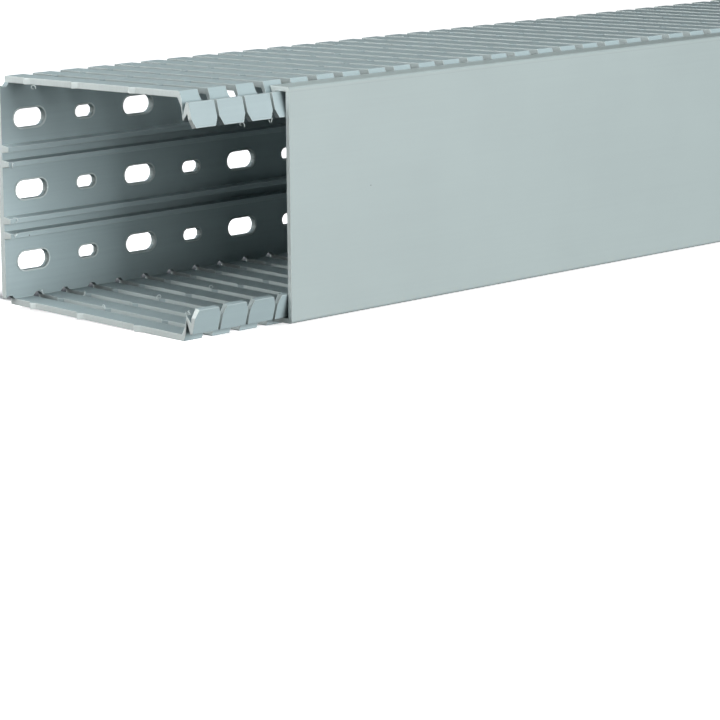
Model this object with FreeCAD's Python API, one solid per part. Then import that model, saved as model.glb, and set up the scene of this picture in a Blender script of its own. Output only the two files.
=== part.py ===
import FreeCAD, Part
import os

Vector = FreeCAD.Vector

# Slotted wire duct of rigid PVC, lying on one slotted side wall.
# X runs along the stock, the base plate stands at +Y and the cover faces -Y.
# The origin is at floor level, in the middle of the length and of the depth.

# Stock size of the closed duct
length = 500.0
width = 80.0
depth = 100.0

# Plate thicknesses
base_t = 2.2
wall_t = 2.2
fold_t = 1.6
cover_t = 1.6
hook_t = 0.9
hook_root = 2.4

# The cover as shown, slid back along the trough
cover_shift = 43.7

# Each side wall leans outward by this much at its groove
splay = 1.5

# Fits between cover and trough
flange_clear = 0.1
front_clear = 0.2
hook_clear = 0.45
hook_short = 2.2

# Snap groove and nose at the free edge of a side wall
groove_inset = 10.2
groove_slope = 3.4
groove_reach = 7.8
nose_back = 1.8
nose_flat = 0.9
nose_reach = 10.0
nose_t = 2.1
nose_lip = 0.4
void_reach = 5.4

# Cable slots between the fingers
slot_pitch = 12.5
slot_first = 1.7
slot_w = 4.4
slot_gap = 1.1
root_cut = 3.4
root_corner = 1.3

# Lugs along one side of a slot, that hold the wires back
lug_places = (12.0, 37.0, 66.5)
lug_len = 3.6
lug_h = 1.3

# Rounded free end of a nose, cut back at both corners
nose_cut_w = 1.8
nose_cut_h = 2.8

# Fixing slots in the base, long and short ones in turn
hole_pitch = 25.0
hole_first = 12.6
row_pitch = 25.0
long_len = 14.0
long_w = 6.5
short_len = 8.6
short_w = 4.3
short_corner = 1.3

# Pairs of lengthwise ribs on the base
rib_spread = 5.2
rib_root = 2.7
rib_tip = 1.7
rib_h = 3.5

# Rounded long edges of the cover
cover_edge_r = 1.0

over = 1.0
x_near = -(length + cover_shift) / 2
y_back = depth / 2
z_low = splay
slot_count = int((length - slot_first) / slot_pitch) + 1
hole_count = int((length - hole_first) / hole_pitch) + 1

# Depths that follow from the sizes above
groove_start = depth - groove_inset
nose_top = cover_t + flange_clear
groove_end = groove_start + groove_slope
groove_h = groove_reach - splay
nose_start = groove_end + nose_back
nose_front = nose_start + nose_flat
nose_end = depth - cover_t - front_clear


def place(s, h):
    # s is measured from the back of the base, h from the lower side of the duct
    return Vector(0, y_back - s, z_low + h)


def prism(points, direction):
    # closed outline swept along one direction
    wire = Part.makePolygon(points + [points[0]])
    return Part.Face(wire).extrude(direction)


def mirrored(half):
    # the half outline of one side wall, continued by that of the other one
    return half + [(s, width - h) for s, h in reversed(half)]


# Outline of one side wall from the corner of the base, out and back in
outer_side = [
    (0, 0),
    (groove_start, -splay),
    (groove_end, groove_h),
    (nose_start, nose_top),
    (nose_front, nose_top),
    (nose_end, nose_reach),
]
inner_side = [
    (nose_end - nose_t, nose_reach + nose_lip),
    (nose_start + nose_flat / 2, void_reach),
    (groove_end, groove_h + fold_t),
    (groove_start - fold_t / 2, wall_t - splay),
    (base_t, wall_t),
]

# The two ribs in the lower half of the base
ribs = []
for centre in (width / 2 - row_pitch / 2 - rib_spread / 2, width / 2 - row_pitch / 2 + rib_spread / 2):
    ribs.append((base_t, centre - rib_root / 2))
    ribs.append((base_t + rib_h, centre - rib_tip / 2))
    ribs.append((base_t + rib_h, centre + rib_tip / 2))
    ribs.append((base_t, centre + rib_root / 2))

trough_outline = [place(s, h) for s, h in mirrored(outer_side + inner_side + ribs)]
trough = prism(trough_outline, Vector(length, 0, 0))

# Plan of a cable slot: plain side from its root to the free edge, then back along the lugs
plain_side = [
    (-slot_w / 2, base_t),
    (-slot_w / 2, groove_start + over),
    (-slot_gap / 2, groove_end),
    (-slot_gap / 2, depth),
]
lug_side = []
for centre in lug_places:
    lug_side.append((slot_w / 2, centre - lug_len / 2))
    lug_side.append((slot_w / 2 - lug_h, centre))
    lug_side.append((slot_w / 2, centre + lug_len / 2))
far_side = [(-x, s) for x, s in plain_side]
slot_outline = plain_side + far_side[:0:-1] + lug_side[::-1] + far_side[:1]
slot_low = -splay - over
slot_high = nose_reach + over
slot_points = [place(s, slot_low) + Vector(x, 0, 0) for x, s in slot_outline]
wall_slot = prism(slot_points, Vector(0, 0, slot_high - slot_low))

# Its root goes round the corner into the base
root_half = [
    (slot_w / 2, slot_low),
    (slot_w / 2, root_cut - root_corner),
    (slot_w / 2 - root_corner, root_cut),
]
root_outline = root_half + [(-x, h) for x, h in reversed(root_half)]
slot_root = prism(
    [place(-over, h) + Vector(x, 0, 0) for x, h in root_outline],
    Vector(0, -base_t - over, 0),
)

# The corners of the noses are cut back at their free edge
nose_cut = prism(
    [place(nose_start, h) + Vector(x, 0, 0) for x, h in (
        (-slot_gap / 2, nose_reach - nose_cut_h),
        (slot_gap / 2, nose_reach - nose_cut_h),
        (slot_gap / 2 + nose_cut_w, nose_reach + over),
        (-slot_gap / 2 - nose_cut_w, nose_reach + over),
    )],
    Vector(0, -(depth - nose_start), 0),
)
lower_slot = wall_slot.fuse([slot_root, nose_cut])
upper_slot = lower_slot.mirror(Vector(0, 0, z_low + width / 2), Vector(0, 0, 1))

# The saw cut at the near end runs through the first slot
end_trim = Part.makeBox(slot_first + over, depth, slot_high - slot_low)
end_trim.translate(place(depth + base_t, slot_low) - Vector(over, 0, 0))
upper_trim = end_trim.mirror(Vector(0, 0, z_low + width / 2), Vector(0, 0, 1))

cuts = [end_trim, upper_trim]
for number in range(slot_count):
    step = Vector(slot_first + number * slot_pitch, 0, 0)
    cuts.append(lower_slot.translated(step))
    cuts.append(upper_slot.translated(step))


# A long fixing slot has half-round ends, a short one has cut corners
through_base = Vector(0, -base_t - 2 * over, 0)
slot_middle = place(-over, width / 2)
long_r = long_w / 2
long_half = long_len / 2 - long_r
corner_a = slot_middle + Vector(-long_half, 0, -long_r)
corner_b = slot_middle + Vector(long_half, 0, -long_r)
corner_c = slot_middle + Vector(long_half, 0, long_r)
corner_d = slot_middle + Vector(-long_half, 0, long_r)
long_wire = Part.Wire([
    Part.makeLine(corner_a, corner_b),
    Part.Arc(corner_b, slot_middle + Vector(long_len / 2, 0, 0), corner_c).toShape(),
    Part.makeLine(corner_c, corner_d),
    Part.Arc(corner_d, slot_middle + Vector(-long_len / 2, 0, 0), corner_a).toShape(),
])
long_slot = Part.Face(long_wire).extrude(through_base)
short_quarter = [
    (short_len / 2 - short_corner, short_w / 2),
    (short_len / 2, short_w / 2 - short_corner),
]
short_end = short_quarter + [(x, -z) for x, z in reversed(short_quarter)]
short_outline = short_end + [(-x, z) for x, z in reversed(short_end)]
short_slot = prism([slot_middle + Vector(x, 0, z) for x, z in short_outline], through_base)
for number in range(hole_count):
    for row in (-1, 0, 1):
        step = Vector(hole_first + number * hole_pitch, 0, row * row_pitch)
        shape = long_slot if number % 2 == 0 else short_slot
        cuts.append(shape.translated(step))

trough = trough.cut(cuts).removeSplitter()
trough.translate(Vector(x_near, 0, 0))
trough = trough.Solids[0]

# Outline of the cover, with a hook behind each row of noses
hook_top = groove_start + groove_slope * splay / groove_reach + hook_clear
hook_reach = groove_h - hook_short
hook_tip = groove_start + groove_slope * (hook_reach + splay) / groove_reach + hook_clear
hook_half = [
    (depth, 0),
    (hook_top, 0),
    (hook_tip, hook_reach),
    (hook_tip + hook_t, hook_reach),
    (hook_top + hook_root, cover_t),
    (depth - cover_t, cover_t),
]
cover_outline = [place(s, h) for s, h in mirrored(hook_half)]
cover = prism(cover_outline, Vector(length, 0, 0))
cover_edges = [
    edge for edge in cover.Edges
    if edge.Length > length - over and edge.CenterOfMass.y < y_back - depth + over / 2
]
cover = cover.makeFillet(cover_edge_r, cover_edges)
cover.translate(Vector(x_near + cover_shift, 0, 0))

os.makedirs("parts", exist_ok=True)
trough.exportStep("parts/trough.step")
cover.exportStep("parts/cover.step")
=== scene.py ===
import math
import bpy
from mathutils import Euler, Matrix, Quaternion, Vector


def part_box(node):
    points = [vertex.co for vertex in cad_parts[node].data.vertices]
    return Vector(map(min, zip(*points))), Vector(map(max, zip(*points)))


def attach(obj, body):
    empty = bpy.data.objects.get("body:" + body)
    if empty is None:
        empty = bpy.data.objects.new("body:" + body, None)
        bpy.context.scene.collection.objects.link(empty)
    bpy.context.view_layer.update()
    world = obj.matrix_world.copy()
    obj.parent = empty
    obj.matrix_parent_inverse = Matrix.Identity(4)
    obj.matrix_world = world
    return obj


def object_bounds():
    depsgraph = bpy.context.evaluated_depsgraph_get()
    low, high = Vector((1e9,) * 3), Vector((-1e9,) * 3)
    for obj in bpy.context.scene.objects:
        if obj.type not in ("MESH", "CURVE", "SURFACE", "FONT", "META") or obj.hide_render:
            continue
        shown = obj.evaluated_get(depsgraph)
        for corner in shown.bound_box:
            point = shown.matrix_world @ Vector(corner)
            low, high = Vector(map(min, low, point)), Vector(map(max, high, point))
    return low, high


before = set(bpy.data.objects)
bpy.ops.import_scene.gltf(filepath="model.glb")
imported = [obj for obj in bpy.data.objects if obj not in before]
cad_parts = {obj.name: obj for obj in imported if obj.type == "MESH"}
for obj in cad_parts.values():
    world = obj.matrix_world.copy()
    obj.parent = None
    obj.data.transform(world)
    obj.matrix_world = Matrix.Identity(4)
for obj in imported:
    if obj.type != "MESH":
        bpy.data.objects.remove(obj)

cad_low, cad_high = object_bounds()

# The stock lies on a studio table and is seen from its cut end, a little from above.
# A long lens stands about 1 m from the cut end, so the edges of the duct close in only slowly.
view_from = (-0.9582, -0.8093, 0.2006)
# in degrees: below the level, off the direction of the bar, and about the line of sight
look_down = 11.36
look_along = 44.88
lens_roll = -0.46
lens = bpy.data.cameras.new("long_lens")
lens.sensor_width = 36.0
lens.lens = 159.1
lens.clip_start = 0.05
lens.clip_end = 60.0
camera = bpy.data.objects.new("camera", lens)
camera.location = view_from
camera.rotation_mode = "QUATERNION"
camera.rotation_quaternion = (
    Euler((math.radians(90.0 - look_down), 0.0, math.radians(look_along - 90.0))).to_quaternion()
    @ Quaternion((0.0, 0.0, 1.0), math.radians(lens_roll))
)
bpy.context.scene.collection.objects.link(camera)
bpy.context.scene.camera = camera

# A plain table of matt white board, large enough to fill the view behind the stock.
# It carries the duct on its slotted side wall and stays white up to the edges of the picture.
board_size = 14.0
board_white = (0.93, 0.935, 0.94, 1.0)
# colour of the painted shadow on the board under and behind the duct
board_painted_shadow = (0.03, 0.035, 0.04, 1.0)
board_mesh = bpy.data.meshes.new("table_board")
half = board_size / 2
board_mesh.from_pydata(
    [(-half, -half, 0), (half, -half, 0), (half, half, 0), (-half, half, 0)], [], [(0, 1, 2, 3)]
)
board = bpy.data.objects.new("table_board", board_mesh)
bpy.context.scene.collection.objects.link(board)
board_paint = bpy.data.materials.new("white_board")
board_paint.use_nodes = True
board_shader = board_paint.node_tree.nodes["Principled BSDF"]
board_shader.inputs["Roughness"].default_value = 0.85
board_shader.inputs["Specular IOR Level"].default_value = 0.1
board_shader.inputs["Emission Strength"].default_value = 0.9
# painted shadow: under the duct and close behind it the board's colour and glow are painted dark. Each
# edge of the painted shadow is given by its axis, the place where the board is fully lit and the one
# where it is dark
board_tree = board_paint.node_tree
board_at = board_tree.nodes.new("ShaderNodeTexCoord")
board_xyz = board_tree.nodes.new("ShaderNodeSeparateXYZ")
board_tree.links.new(board_at.outputs["Object"], board_xyz.inputs["Vector"])
painted_shadow_edges = (
    ("X", cad_low.x + 0.008, cad_low.x + 0.016),
    ("X", cad_high.x + 0.03, cad_high.x - 0.01),
    ("Y", cad_low.y + 0.004, cad_low.y + 0.02),
    ("Y", cad_high.y + 0.05, cad_high.y + 0.012),
)
shade = None
for axis, lit, dark in painted_shadow_edges:
    side = board_tree.nodes.new("ShaderNodeMapRange")
    side.interpolation_type = "SMOOTHSTEP"
    side.inputs["From Min"].default_value = lit
    side.inputs["From Max"].default_value = dark
    board_tree.links.new(board_xyz.outputs[axis], side.inputs["Value"])
    if shade is None:
        shade = side.outputs["Result"]
        continue
    both = board_tree.nodes.new("ShaderNodeMath")
    both.operation = "MULTIPLY"
    board_tree.links.new(shade, both.inputs[0])
    board_tree.links.new(side.outputs["Result"], both.inputs[1])
    shade = both.outputs[0]
# the board's colour and its glow are both faded to the painted shadow there
faded = board_tree.nodes.new("ShaderNodeMix")
faded.data_type = "RGBA"
faded.inputs["A"].default_value = board_white
faded.inputs["B"].default_value = board_painted_shadow
board_tree.links.new(shade, faded.inputs["Factor"])
board_tree.links.new(faded.outputs["Result"], board_shader.inputs["Base Color"])
board_tree.links.new(faded.outputs["Result"], board_shader.inputs["Emission Color"])
board_mesh.materials.append(board_paint)
# the duct gets no light from the board, and the board doesn't mirror in it
board.visible_diffuse = False
board.visible_glossy = False

# Soft boxes of the studio, out of sight themselves. Two large ones light the cover from the front
# and a third reaches into the cut end. Small ones light the top, the sawn faces and the back.
# Each has its name, its place, the point it is aimed at, its side in metres and its power in watts.
soft_boxes = [
    ("box_front", (0.1, -2.2, 0.28), (-0.05, 0.0, 0.05), 1.2, 70.0),
    ("box_right", (0.9, -2.2, 0.12), (-0.05, 0.0, 0.05), 1.2, 30.0),
    ("box_low", (-0.85, -2.0, 0.1), (-0.05, 0.0, 0.05), 1.2, 28.0),
    ("box_above", (-0.42, 0.1, 0.62), (-0.27, 0.0, 0.08), 0.4, 5.2),
    ("box_end", (-1.9, 0.45, 0.4), (-0.25, 0.0, 0.05), 0.6, 9.0),
    ("box_back", (-0.3, 1.8, 0.16), (0.0, 0.0, 0.04), 0.5, 15.0),
]
for box_name, box_at, box_towards, box_side, box_watts in soft_boxes:
    light = bpy.data.lights.new(box_name, "AREA")
    light.shape = "SQUARE"
    light.size = box_side
    light.energy = box_watts
    lamp = bpy.data.objects.new(box_name, light)
    lamp.location = box_at
    aim = Vector(box_towards) - Vector(box_at)
    lamp.rotation_mode = "QUATERNION"
    lamp.rotation_quaternion = aim.to_track_quat("-Z", "Y")
    lamp.visible_camera = False
    bpy.context.scene.collection.objects.link(lamp)

# The white board glows back through the slots of the lower wall, from the thin gap under it.
# A flat lamp in that gap, turned upwards, stands for it, and a faint pale room fills the rest.
glow_at = (-0.035, -0.003, 0.0004)
glow = bpy.data.lights.new("board_glow", "AREA")
glow.shape = "RECTANGLE"
glow.size = 0.46
glow.size_y = 0.075
glow.energy = 0.09
glow_lamp = bpy.data.objects.new("board_glow", glow)
glow_lamp.location = glow_at
glow_lamp.rotation_mode = "QUATERNION"
glow_lamp.rotation_quaternion = (0.0, 1.0, 0.0, 0.0)
glow_lamp.visible_camera = False
bpy.context.scene.collection.objects.link(glow_lamp)

room = bpy.data.worlds.new("pale_room")
room.use_nodes = True
room.node_tree.nodes["Background"].inputs["Color"].default_value = (1.0, 1.0, 1.0, 1.0)
room.node_tree.nodes["Background"].inputs["Strength"].default_value = 0.02
bpy.context.scene.world = room
bpy.context.scene.view_settings.view_transform = "Standard"


# The trough is one extrusion of light grey rigid PVC with its two side walls slotted in fingers.
# Its skin has faint lines from the die and a few specks; sawn and punched faces are paler and rougher.
# The sawn faces also carry painted light, and the edges a painted highlight.
def grey_pvc(name, skin, cut, punched, lines_share, sawn_at=(), edge_line=None):
    paint = bpy.data.materials.new(name)
    paint.use_nodes = True
    tree = paint.node_tree
    shader = tree.nodes["Principled BSDF"]
    shader.inputs["IOR"].default_value = 1.53
    link = tree.links.new

    def node(kind, **values):
        made = tree.nodes.new(kind)
        for key, value in values.items():
            if key in made.inputs:
                made.inputs[key].default_value = value
            else:
                setattr(made, key, value)
        return made

    where = node("ShaderNodeTexCoord")

    # cloudy patches in the mass
    clouds = node("ShaderNodeTexNoise", Scale=24.0, Detail=3.0, Roughness=0.55)
    link(where.outputs["Object"], clouds.inputs["Vector"])

    # lines that the die leaves along the bar
    along = node("ShaderNodeMapping")
    along.inputs["Scale"].default_value = (0.6, 60.0, 60.0)
    link(where.outputs["Object"], along.inputs["Vector"])
    lines = node("ShaderNodeTexNoise", Scale=14.0, Detail=4.0, Roughness=0.6)
    link(along.outputs["Vector"], lines.inputs["Vector"])

    # saw and punch marks across the wall on the cut faces
    across = node("ShaderNodeMapping")
    across.inputs["Scale"].default_value = (900.0, 900.0, 120.0)
    link(where.outputs["Object"], across.inputs["Vector"])
    marks = node("ShaderNodeTexNoise", Scale=2.2, Detail=3.0, Roughness=0.6)
    link(across.outputs["Vector"], marks.inputs["Vector"])

    # cut faces look along the bar, moulded ones do not
    facing = node("ShaderNodeSeparateXYZ")
    link(where.outputs["Normal"], facing.inputs["Vector"])
    endways = node("ShaderNodeMath", operation="ABSOLUTE")
    link(facing.outputs["X"], endways.inputs[0])
    cut_share = node("ShaderNodeMapRange", interpolation_type="SMOOTHSTEP")
    cut_share.inputs["From Min"].default_value = 0.78
    cut_share.inputs["From Max"].default_value = 0.95
    link(endways.outputs[0], cut_share.inputs["Value"])

    # tiny dark specks of burnt material, most of them missing
    grains = node("ShaderNodeTexVoronoi", Scale=95.0)
    link(where.outputs["Object"], grains.inputs["Vector"])
    speck = node("ShaderNodeMapRange")
    speck.inputs["From Min"].default_value = 0.028
    speck.inputs["From Max"].default_value = 0.018
    link(grains.outputs["Distance"], speck.inputs["Value"])
    pick = node("ShaderNodeSeparateColor")
    link(grains.outputs["Color"], pick.inputs["Color"])
    few = node("ShaderNodeMath", operation="GREATER_THAN")
    few.inputs[1].default_value = 0.86
    link(pick.outputs["Red"], few.inputs[0])
    speck_share = node("ShaderNodeMath", operation="MULTIPLY")
    link(speck.outputs["Result"], speck_share.inputs[0])
    link(few.outputs[0], speck_share.inputs[1])

    # colour: skin with clouds and die lines, then the paler cut faces, then specks
    def mix(share, low, high, blend="MIX"):
        made = node("ShaderNodeMix", data_type="RGBA", blend_type=blend)
        sockets = (made.inputs["Factor"], made.inputs["A"], made.inputs["B"])
        for socket, value in zip(sockets, (share, low, high)):
            if isinstance(value, (int, float, tuple)):
                socket.default_value = value
            else:
                link(value, socket)
        return made.outputs["Result"]

    def shaded(colour, share):
        return tuple(channel * share for channel in colour[:3]) + (1.0,)

    tone = mix(clouds.outputs["Fac"], skin, shaded(skin, 0.9))
    tone = mix(lines_share, tone, lines.outputs["Fac"], "OVERLAY")
    tone = mix(cut_share.outputs["Result"], tone, punched)
    spot = node("ShaderNodeSeparateXYZ")
    link(where.outputs["Object"], spot.inputs["Vector"])
    # the sawn faces are the palest, partly from their paler PVC and partly as painted light on the cut
    # end; each is given by its place along the bar and a reach to both sides
    sawn_tone_with_light = mix(marks.outputs["Fac"], cut, shaded(cut, 0.84))
    end_face = node("ShaderNodeMath", operation="GREATER_THAN")
    end_face.inputs[1].default_value = 0.8
    link(endways.outputs[0], end_face.inputs[0])
    for sawn_x, reach in sawn_at:
        near = node("ShaderNodeMath", operation="COMPARE")
        near.inputs[1].default_value = sawn_x
        near.inputs[2].default_value = reach
        link(spot.outputs["X"], near.inputs[0])
        sawn = node("ShaderNodeMath", operation="MULTIPLY")
        link(near.outputs[0], sawn.inputs[0])
        link(end_face.outputs[0], sawn.inputs[1])
        tone = mix(sawn.outputs[0], tone, sawn_tone_with_light)
    burnt = (0.05, 0.05, 0.05, 1.0)
    tone = mix(speck_share.outputs[0], tone, burnt)

    # painted highlight: punched and moulded edges, where the rounded normal turns away from the flat
    # one, are painted a little paler
    soft = node("ShaderNodeBevel", samples=6)
    soft.inputs["Radius"].default_value = 0.00035
    sharp = node("ShaderNodeNewGeometry")
    agreement = node("ShaderNodeVectorMath", operation="DOT_PRODUCT")
    link(soft.outputs["Normal"], agreement.inputs[0])
    link(sharp.outputs["Normal"], agreement.inputs[1])
    edge_highlight = node("ShaderNodeMapRange")
    edge_highlight.inputs["From Min"].default_value = 0.995
    edge_highlight.inputs["From Max"].default_value = 0.86
    edge_highlight.inputs["To Max"].default_value = 0.3
    link(agreement.outputs["Value"], edge_highlight.inputs["Value"])
    tone = mix(edge_highlight.outputs["Result"], tone, cut)

    # relief: die lines and a fine grain on the skin, saw and punch marks on the cut faces
    height = node("ShaderNodeMath", operation="MULTIPLY_ADD")
    height.inputs[1].default_value = 0.5
    link(lines.outputs["Fac"], height.inputs[0])
    fine = node("ShaderNodeTexNoise", Scale=1500.0, Detail=2.0)
    link(where.outputs["Object"], fine.inputs["Vector"])
    link(fine.outputs["Fac"], height.inputs[2])
    relief = mix(cut_share.outputs["Result"], height.outputs[0], marks.outputs["Fac"])

    # a scored line that runs the whole length of the bar, just under its upper front edge
    if edge_line:
        line_z, line_w = edge_line
        off = node("ShaderNodeMath", operation="SUBTRACT")
        off.inputs[1].default_value = line_z
        link(spot.outputs["Z"], off.inputs[0])
        gap = node("ShaderNodeMath", operation="ABSOLUTE")
        link(off.outputs[0], gap.inputs[0])
        score = node("ShaderNodeMapRange", interpolation_type="SMOOTHSTEP")
        score.inputs["From Min"].default_value = line_w
        score.inputs["From Max"].default_value = 0.0
        link(gap.outputs[0], score.inputs["Value"])
        faint = node("ShaderNodeMath", operation="MULTIPLY")
        faint.inputs[1].default_value = 0.12
        link(score.outputs["Result"], faint.inputs[0])
        groove_dark = (0.08, 0.09, 0.09, 1.0)
        tone = mix(faint.outputs[0], tone, groove_dark)

    bump = node("ShaderNodeBump")
    bump.inputs["Strength"].default_value = 0.16
    bump.inputs["Distance"].default_value = 0.00012
    link(relief, bump.inputs["Height"])
    link(soft.outputs["Normal"], bump.inputs["Normal"])

    rough = node("ShaderNodeMapRange")
    rough.inputs["To Min"].default_value = 0.42
    rough.inputs["To Max"].default_value = 0.52
    link(lines.outputs["Fac"], rough.inputs["Value"])
    rougher = node("ShaderNodeMath", operation="MULTIPLY_ADD")
    rougher.inputs[1].default_value = 0.25
    link(cut_share.outputs["Result"], rougher.inputs[0])
    link(rough.outputs["Result"], rougher.inputs[2])

    link(tone, shader.inputs["Base Color"])
    link(rougher.outputs[0], shader.inputs["Roughness"])
    link(bump.outputs["Normal"], shader.inputs["Normal"])
    return paint


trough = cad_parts["trough"]
trough_low, trough_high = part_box("trough")
trough_skin = (0.248, 0.316, 0.330, 1.0)
trough_punched = (0.36, 0.42, 0.42, 1.0)
# pale sawn faces: paler PVC plus painted light on the cut end; also the colour of the painted edge
# highlight
trough_cut_with_light = (0.74, 0.82, 0.81, 1.0)
end_reach = 0.0002
# the saw has also laid open the first fingers, 2.1 to 4.1 mm behind the near end
finger_at = 0.0031
finger_reach = 0.001
trough_ends = (
    (trough_low.x, end_reach),
    (trough_high.x, end_reach),
    (trough_low.x + finger_at, finger_reach),
)
trough_pvc = grey_pvc(
    "trough_pvc", trough_skin, trough_cut_with_light, trough_punched, lines_share=0.08, sawn_at=trough_ends
)
trough.data.materials.clear()
trough.data.materials.append(trough_pvc)

# The cover is a second extrusion of the same PVC, smoother and a shade lighter on its face.
# It hooks behind the noses of the fingers and has been slid back from the cut end of the trough.
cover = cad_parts["cover"]
cover_low, cover_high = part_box("cover")
cover_skin = (0.262, 0.315, 0.315, 1.0)
# pale sawn ends: paler PVC plus painted light on the cut end
cover_cut_with_light = (0.66, 0.74, 0.73, 1.0)
cover_t = 0.0016
line_reach = 0.0002
cover_line = (cover_high.z - cover_t, line_reach)
cover_ends = ((cover_low.x, end_reach), (cover_high.x, end_reach))
cover_pvc = grey_pvc(
    "cover_pvc", cover_skin, cover_cut_with_light, cover_cut_with_light,
    lines_share=0.03, sawn_at=cover_ends, edge_line=cover_line,
)
cover.data.materials.clear()
cover.data.materials.append(cover_pvc)


# Punching the fixing slots raises a thin bright lip round each of them on the inner face of the base.
# The slots stand in three rows on a 25 mm grid, long and short ones in turn.
grid = 0.025
slots_in_row = 20
end_gap = 0.0126
base_t = 0.0022
long_len = 0.014
long_w = 0.0065
short_len = 0.0086
short_w = 0.0043
lip_radius = 0.00032
lip_out = 0.0006
first_slot = trough_low.x + end_gap
base_inside = trough_high.y - base_t
middle = (trough_low.z + trough_high.z) / 2
lip_skin = (0.40, 0.46, 0.46, 1.0)
lip_pvc = grey_pvc("lip_pvc", lip_skin, trough_cut_with_light, trough_punched, lines_share=0.02)


def every_other_slot(first):
    return [
        (first_slot + grid * number, base_inside, middle + grid * row)
        for number in range(first, slots_in_row, 2)
        for row in (-1, 0, 1)
    ]


def grown_on(points, tree, name):
    marks = bpy.data.meshes.new(name + "_points")
    marks.from_pydata(points, [], [])
    maker = bpy.data.objects.new(name + "_maker", marks)
    bpy.context.scene.collection.objects.link(maker)
    maker.modifiers.new("grow", "NODES").node_group = tree
    evaluated = maker.evaluated_get(bpy.context.evaluated_depsgraph_get())
    mesh = bpy.data.meshes.new_from_object(evaluated)
    mesh.name = name
    grown = bpy.data.objects.new(name, mesh)
    bpy.context.scene.collection.objects.link(grown)
    bpy.data.objects.remove(maker)
    return grown


def slot_lips(name, centres, slot_len, slot_width):
    tree = bpy.data.node_groups.new(name, "GeometryNodeTree")
    tree.is_modifier = True
    face = tree.interface
    face.new_socket(name="Centres", in_out="INPUT", socket_type="NodeSocketGeometry")
    sizes = (("Slot length", slot_len), ("Slot width", slot_width), ("Lip radius", lip_radius))
    for size_name, value in sizes:
        socket = face.new_socket(name=size_name, in_out="INPUT", socket_type="NodeSocketFloat")
        socket.default_value = value
    face.new_socket(name="Lips", in_out="OUTPUT", socket_type="NodeSocketGeometry")
    given = tree.nodes.new("NodeGroupInput")
    result = tree.nodes.new("NodeGroupOutput")
    outline = tree.nodes.new("GeometryNodeCurvePrimitiveQuadrilateral")
    tree.links.new(given.outputs["Slot length"], outline.inputs["Width"])
    tree.links.new(given.outputs["Slot width"], outline.inputs["Height"])
    # the ends are round, but the arcs stop just short of meeting
    half_width = tree.nodes.new("ShaderNodeMath")
    half_width.operation = "MULTIPLY"
    half_width.inputs[1].default_value = 0.499
    tree.links.new(given.outputs["Slot width"], half_width.inputs[0])
    ends = tree.nodes.new("GeometryNodeFilletCurve")
    ends.mode = "POLY"
    ends.inputs["Count"].default_value = 4
    ends.inputs["Limit Radius"].default_value = True
    tree.links.new(outline.outputs["Curve"], ends.inputs["Curve"])
    tree.links.new(half_width.outputs[0], ends.inputs["Radius"])
    wire = tree.nodes.new("GeometryNodeCurvePrimitiveCircle")
    wire.inputs["Resolution"].default_value = 6
    tree.links.new(given.outputs["Lip radius"], wire.inputs["Radius"])
    lip = tree.nodes.new("GeometryNodeCurveToMesh")
    tree.links.new(ends.outputs["Curve"], lip.inputs["Curve"])
    tree.links.new(wire.outputs["Curve"], lip.inputs["Profile Curve"])
    spread = tree.nodes.new("GeometryNodeInstanceOnPoints")
    spread.inputs["Rotation"].default_value = (math.pi / 2, 0.0, 0.0)
    tree.links.new(given.outputs["Centres"], spread.inputs["Points"])
    tree.links.new(lip.outputs["Mesh"], spread.inputs["Instance"])
    real = tree.nodes.new("GeometryNodeRealizeInstances")
    finish = tree.nodes.new("GeometryNodeSetMaterial")
    finish.inputs["Material"].default_value = lip_pvc
    tree.links.new(spread.outputs["Instances"], real.inputs["Geometry"])
    tree.links.new(real.outputs["Geometry"], finish.inputs["Geometry"])
    tree.links.new(finish.outputs["Geometry"], result.inputs["Lips"])

    lips = grown_on(centres, tree, name)
    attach(lips, "trough")


slot_lips("long_slot_lips", every_other_slot(0), long_len + lip_out, long_w + lip_out)
slot_lips("short_slot_lips", every_other_slot(1), short_len + lip_out, short_w + lip_out)


# Sawing and punching leave thin curls of plastic at the cut end, on the noses and at the lugs.
# Each is a torn thread of the same PVC, a quarter of a millimetre thick and curled up to about 1 mm.
curl_skin = (0.50, 0.56, 0.56, 1.0)
curl_pvc = grey_pvc("curl_pvc", curl_skin, trough_cut_with_light, trough_cut_with_light, lines_share=0.02)


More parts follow.
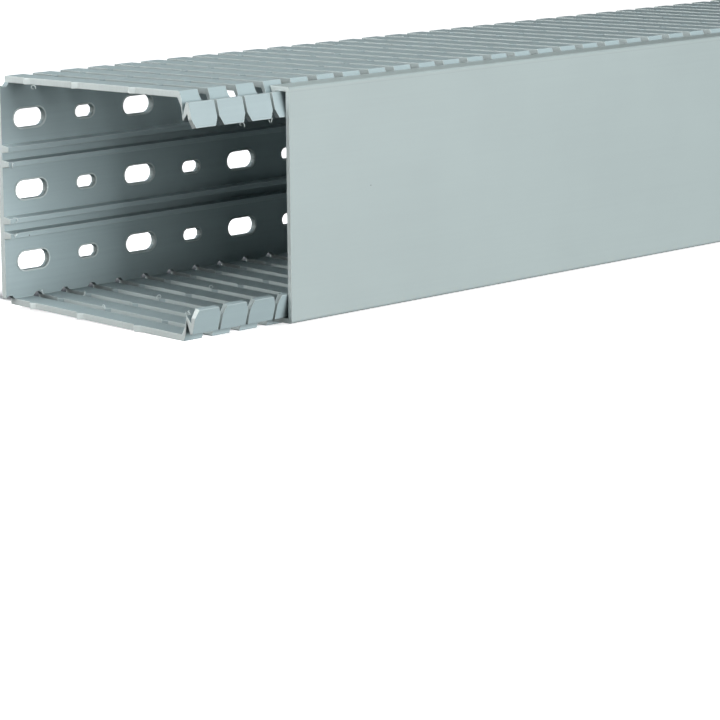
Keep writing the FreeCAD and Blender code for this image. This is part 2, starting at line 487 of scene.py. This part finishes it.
def hanging_curls(name, places, curl_size, thread_radius, seed):
    tree = bpy.data.node_groups.new(name, "GeometryNodeTree")
    tree.is_modifier = True
    face = tree.interface
    face.new_socket(name="Places", in_out="INPUT", socket_type="NodeSocketGeometry")
    for size_name, value in (("Curl size", curl_size), ("Thread radius", thread_radius)):
        socket = face.new_socket(name=size_name, in_out="INPUT", socket_type="NodeSocketFloat")
        socket.default_value = value
    chance = face.new_socket(name="Seed", in_out="INPUT", socket_type="NodeSocketInt")
    chance.default_value = seed
    face.new_socket(name="Curls", in_out="OUTPUT", socket_type="NodeSocketGeometry")
    given = tree.nodes.new("NodeGroupInput")
    result = tree.nodes.new("NodeGroupOutput")
    spiral = tree.nodes.new("GeometryNodeCurveSpiral")
    spiral.inputs["Resolution"].default_value = 10
    spiral.inputs["Rotations"].default_value = 0.8
    tree.links.new(given.outputs["Curl size"], spiral.inputs["Height"])
    tree.links.new(given.outputs["Curl size"], spiral.inputs["End Radius"])
    # the spiral opens from this share of its size
    start = tree.nodes.new("ShaderNodeMath")
    start.operation = "MULTIPLY"
    start.inputs[1].default_value = 0.4
    tree.links.new(given.outputs["Curl size"], start.inputs[0])
    tree.links.new(start.outputs[0], spiral.inputs["Start Radius"])
    wire = tree.nodes.new("GeometryNodeCurvePrimitiveCircle")
    wire.inputs["Resolution"].default_value = 5
    tree.links.new(given.outputs["Thread radius"], wire.inputs["Radius"])
    thread = tree.nodes.new("GeometryNodeCurveToMesh")
    thread.inputs["Fill Caps"].default_value = True
    tree.links.new(spiral.outputs["Curve"], thread.inputs["Curve"])
    tree.links.new(wire.outputs["Curve"], thread.inputs["Profile Curve"])
    turn = tree.nodes.new("FunctionNodeRandomValue")
    turn.data_type = "FLOAT_VECTOR"
    turn.inputs["Max"].default_value = (2 * math.pi, 2 * math.pi, 2 * math.pi)
    tree.links.new(given.outputs["Seed"], turn.inputs["Seed"])
    spread = tree.nodes.new("GeometryNodeInstanceOnPoints")
    tree.links.new(given.outputs["Places"], spread.inputs["Points"])
    tree.links.new(thread.outputs["Mesh"], spread.inputs["Instance"])
    tree.links.new(turn.outputs["Value"], spread.inputs["Rotation"])
    real = tree.nodes.new("GeometryNodeRealizeInstances")
    finish = tree.nodes.new("GeometryNodeSetMaterial")
    finish.inputs["Material"].default_value = curl_pvc
    tree.links.new(spread.outputs["Instances"], real.inputs["Geometry"])
    tree.links.new(real.outputs["Geometry"], finish.inputs["Geometry"])
    tree.links.new(finish.outputs["Geometry"], result.inputs["Curls"])

    curls = grown_on(places, tree, name)
    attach(curls, "trough")


# Place of each curl in metres: from the near end, from the back of the base, over the lower side.
wall_lean = 0.0015
duct_floor = trough_low.z + wall_lean
curl_places = [
    (trough_low.x + along, trough_high.y - depth, duct_floor + height)
    for along, depth, height in (
        (0.0019, 0.0180, 0.0774),
        (0.0252, 0.0965, 0.0692),
        (0.0376, 0.0965, 0.0692),
        (0.0020, 0.0062, 0.0249),
        (0.0020, 0.0062, 0.0301),
        (0.0020, 0.0062, 0.0499),
        (0.0040, 0.0930, 0.0085),
        (0.0151, 0.0370, 0.0022),
        (0.0276, 0.0665, 0.0022),
        (0.0401, 0.0370, 0.0022),
        (0.0276, 0.0120, 0.0022),
        (0.0526, 0.0665, 0.0022),
        (0.0651, 0.0370, 0.0022),
        (0.0142, 0.0040, 0.0036),
    )
]
hanging_curls("saw_curls", curl_places, curl_size=0.0011, thread_radius=0.00013, seed=3)
